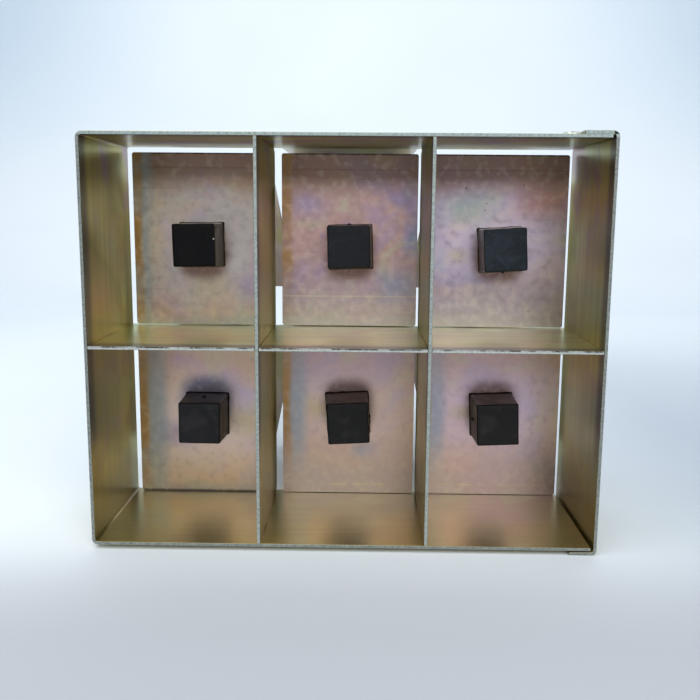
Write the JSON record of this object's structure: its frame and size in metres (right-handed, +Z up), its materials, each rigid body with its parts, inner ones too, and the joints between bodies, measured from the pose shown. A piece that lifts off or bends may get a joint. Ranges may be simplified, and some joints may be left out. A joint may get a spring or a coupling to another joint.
{
  "type": "soil block press",
  "caption": "Hand-held press with a grid of open sheet-metal cells; sprung plates carrying moulded cube pins push the blocks out.",
  "frame": {"origin": "middle of the press's box at its underside: the underside of the yoke's lower leg and of the end plate's lower flange, which the press lies on", "axes": "+X to the right seen from the open mouth, -Y out of the open mouth of the cells, +Y towards the handle, +Z up"},
  "size_m": [0.222, 0.3, 0.182],
  "materials": {
    "zinc_sheet": "yellow zinc chromate, satin",
    "zinc_plate": "rose to violet zinc chromate, satin",
    "zinc_bar": "yellow zinc chromate, turned",
    "weld_metal": "plated weld bead",
    "spring_steel": "drawn wire, bright",
    "bush_bronze": "turned bronze",
    "pin_plastic": "moulded black plastic",
    "grip_rubber": "matt black rubber",
    "grip_plastic": "grained black plastic"
  },
  "bodies": {
    "frame": {"casing_wrap": "zinc_sheet", "casing_end_plate": "zinc_sheet", "divider_left": "zinc_sheet", "divider_right": "zinc_sheet", "divider_cross": "zinc_sheet", "weld_beads": "weld_metal", "yoke_strap": "zinc_sheet", "guide_bush": "bush_bronze", "bush_nut": "zinc_bar", "spring_seat_front": "zinc_bar", "return_spring": "spring_steel", "finger_grip_upper": "grip_plastic", "finger_grip_lower": "grip_plastic"},
    "ejector": {"carrier_plate": "zinc_plate", "collar_screw": "zinc_bar", "handle_end_plugs": "grip_plastic", "handle_grip_lower": "grip_rubber", "handle_grip_upper": "grip_rubber", "handle_screw": "zinc_bar", "handle_tee": "zinc_bar", "handle_tube": "zinc_bar", "pin_lower_left": "pin_plastic", "pin_lower_middle": "pin_plastic", "pin_lower_right": "pin_plastic", "pin_upper_left": "pin_plastic", "pin_upper_middle": "pin_plastic", "pin_upper_right": "pin_plastic", "plate_lower_left": "zinc_plate", "plate_lower_middle": "zinc_plate", "plate_lower_right": "zinc_plate", "plate_upper_left": "zinc_plate", "plate_upper_middle": "zinc_plate", "plate_upper_right": "zinc_plate", "plunger_rod": "zinc_bar", "spring_seat_rear": "zinc_bar", "stem_lower_left": "zinc_bar", "stem_lower_middle": "zinc_bar", "stem_lower_right": "zinc_bar", "stem_nuts": "zinc_bar", "stem_upper_left": "zinc_bar", "stem_upper_middle": "zinc_bar", "stem_upper_right": "zinc_bar", "stem_washers": "zinc_bar", "stop_bumper": "grip_rubber", "stop_collar": "zinc_bar"}
  },
  "joints": [
    {"name": "ejector_slide", "type": "slide", "parent": "frame", "child": "ejector", "axis": [0, -1, 0], "range_m": [0, 0.07], "stiffness_N_per_m": 1440, "springref_m": -0.015, "deforming": ["return_spring"]}
  ]
}
